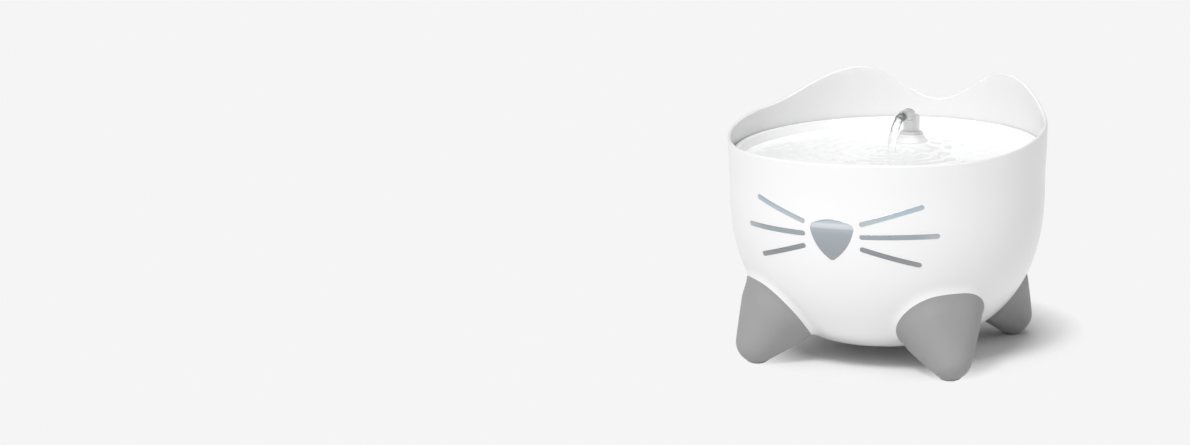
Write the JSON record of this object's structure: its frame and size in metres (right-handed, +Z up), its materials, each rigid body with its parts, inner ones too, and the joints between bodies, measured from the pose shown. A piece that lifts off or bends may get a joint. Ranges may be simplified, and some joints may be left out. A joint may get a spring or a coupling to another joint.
{
  "type": "pet water fountain",
  "caption": "Round cat-shaped water fountain: eared reservoir bowl on ear-shaped legs, lift-out tray with filter cassette, swivelling faucet and submersible pump.",
  "frame": {"origin": "on the ground under the middle of the bowl", "axes": "+Z up, the face looks along -Y, +X is to the right of someone who looks at the face"},
  "size_m": [0.2082, 0.2082, 0.174],
  "materials": {
    "bowl_white": "smooth satin moulding",
    "tray_white": "smooth gloss moulding",
    "leg_grey": "fine matte texture",
    "dial_grey": "matte moulding",
    "silver_inlay": "hot-stamped metallic foil",
    "clear_plastic": "clear polished moulding",
    "dark_rubber": "matte rubber",
    "pad_rubber": "matte rubber",
    "white_silicone": "soft silicone",
    "pump_plastic": "fine-grained dark moulding",
    "screw_steel": "plain steel",
    "core_steel": "laminated sheet steel",
    "copper_winding": "enamelled wire",
    "board_green": "coated board",
    "ceramic": "polished ceramic",
    "ferrite": "moulded ferrite",
    "filter_foam": "open-cell foam",
    "filter_granules": "packed carbon granules"
  },
  "bodies": {
    "base": {"bowl": "bowl_white", "nose_inlay": "silver_inlay", "whisker_left_upper": "silver_inlay", "whisker_left_middle": "silver_inlay", "whisker_left_lower": "silver_inlay", "whisker_right_upper": "silver_inlay", "whisker_right_middle": "silver_inlay", "whisker_right_lower": "silver_inlay", "leg_front_left": "leg_grey", "leg_front_right": "leg_grey", "leg_rear_left": "leg_grey", "leg_rear_right": "leg_grey", "foot_pad_front_left": "pad_rubber", "foot_pad_front_right": "pad_rubber", "foot_pad_rear_left": "pad_rubber", "foot_pad_rear_right": "pad_rubber", "leg_screws": "screw_steel", "cable_grommet": "dark_rubber", "pump_housing": "pump_plastic", "pump_end_cover": "pump_plastic", "pump_cable_gland": "dark_rubber", "stator_core": "core_steel", "stator_coil": "copper_winding", "circuit_board": "board_green", "impeller_shaft": "ceramic", "shaft_bush_rear": "dark_rubber", "shaft_bush_front": "dark_rubber", "chamber_cover": "pump_plastic", "chamber_seal": "dark_rubber", "suction_cups": "dark_rubber", "riser_tube": "tray_white"},
    "impeller": {"impeller": "leg_grey", "rotor_magnet": "ferrite"},
    "flow_dial": {"flow_dial": "dial_grey"},
    "tray": {"drinking_tray": "tray_white", "tray_seal": "white_silicone", "riser_seal": "white_silicone"},
    "cassette": {"filter_basket": "tray_white", "filter_pad": "filter_foam", "filter_media": "filter_granules", "filter_grille": "tray_white"},
    "faucet_collar": {"faucet_collar": "clear_plastic", "collar_ring": "white_silicone"},
    "faucet": {"faucet_spout": "clear_plastic"}
  },
  "joints": [
    {"name": "tray_lift", "type": "slide", "parent": "base", "child": "tray", "axis": [0, 0, 1], "range_m": [0, 0.12]},
    {"name": "cassette_lift", "type": "slide", "parent": "tray", "child": "cassette", "axis": [0, 0, 1], "range_m": [0, 0.07]},
    {"name": "faucet_lift", "type": "slide", "parent": "tray", "child": "faucet_collar", "axis": [0, 0, 1], "range_m": [0, 0.05]},
    {"name": "faucet_swivel", "type": "hinge", "parent": "faucet_collar", "child": "faucet", "pos_m": [0, 0.0475, 0.128], "axis": [0, 0, 1], "range_deg": [-60, 60]},
    {"name": "impeller_spin", "type": "hinge", "parent": "base", "child": "impeller", "pos_m": [0, 0.0475, 0.044], "axis": [0, 1, 0], "continuous": true},
    {"name": "dial_turn", "type": "hinge", "parent": "base", "child": "flow_dial", "pos_m": [0, 0.0577, 0.044], "axis": [0, 1, 0], "range_deg": [0, 22.5]}
  ]
}
